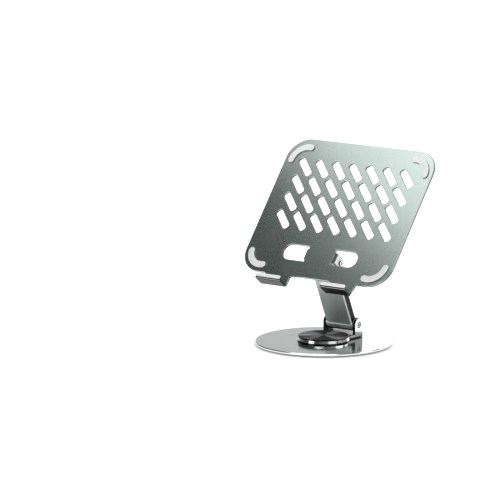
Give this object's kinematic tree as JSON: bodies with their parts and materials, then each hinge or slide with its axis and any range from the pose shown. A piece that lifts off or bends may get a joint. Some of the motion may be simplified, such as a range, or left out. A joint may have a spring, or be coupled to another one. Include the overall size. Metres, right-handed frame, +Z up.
{
  "type": "laptop stand",
  "caption": "Folding metal stand for a tablet or small laptop: round base, turntable, hinged arm, and a slotted tray with front hooks and soft corner pads.",
  "frame": {"origin": "centre of the round base, on the surface it stands on", "axes": "+Z up, -Y towards the user (the side of the tray's hooks), +X to the user's right"},
  "size_m": [0.1834, 0.1432, 0.1936],
  "materials": {
    "tray_sheet": "satin, fine bead-blasted and anodised",
    "arm_metal": "satin anodised, bright-cut bevels",
    "bracket_metal": "satin, bright-cut bevels",
    "base_metal": "polished, soft mirror",
    "cap_metal": "spun-brushed, dark anodised, circular grain",
    "steel_hardware": "bright turned steel",
    "spring_steel": "oiled spring steel",
    "bush_bronze": "plain bearing bronze",
    "washer_nylon": "natural nylon",
    "pad_silicone": "light grey silicone, fine matt",
    "liner_silicone": "dark grey silicone, fine matt",
    "foot_rubber": "black silicone, fine matt"
  },
  "bodies": {
    "base": {"base_plate": "base_metal", "foot_mat": "foot_rubber", "pivot_bolt": "steel_hardware", "pivot_spring_washer": "spring_steel", "pivot_lock_nut": "steel_hardware", "thrust_washer": "washer_nylon"},
    "turntable": {"hinge_bracket": "bracket_metal", "turntable_cap": "cap_metal", "lower_hinge_pin": "steel_hardware", "lower_hinge_screws": "steel_hardware", "lower_spring_washers": "spring_steel"},
    "arm": {"arm_bar": "arm_metal", "lower_bush": "bush_bronze", "upper_bush": "bush_bronze", "lower_friction_washers": "washer_nylon"},
    "upper_pin": {"upper_hinge_pin": "steel_hardware", "upper_hinge_screws": "steel_hardware", "upper_friction_washers": "washer_nylon"},
    "tray": {"tray_plate": "tray_sheet", "corner_pad_upper_left": "pad_silicone", "corner_pad_upper_right": "pad_silicone", "corner_pad_lower_left": "pad_silicone", "corner_pad_lower_right": "pad_silicone", "hook_liner_left": "liner_silicone", "hook_liner_right": "liner_silicone"}
  },
  "joints": [
    {"name": "turntable_spin", "type": "hinge", "parent": "base", "child": "turntable", "pos_m": [0, 0, 0], "axis": [0, 0, 1], "continuous": true},
    {"name": "arm_fold", "type": "hinge", "parent": "turntable", "child": "arm", "pos_m": [0, 0.0332, 0.0171], "axis": [1, 0, 0], "range_deg": [-22, 66]},
    {"name": "upper_pin_turn", "type": "hinge", "parent": "arm", "child": "upper_pin", "pos_m": [0, 0.00279, 0.08445], "axis": [1, 0, 0], "range_deg": [-95, 33]},
    {"name": "tray_tilt", "type": "hinge", "parent": "upper_pin", "child": "tray", "pos_m": [0, 0.00279, 0.08445], "axis": [1, 0, 0], "range_deg": [-25, 10]}
  ],
  "couplings": [
    {"joint": "upper_pin_turn", "follows": "arm_fold", "ratio": -1.4121}
  ]
}
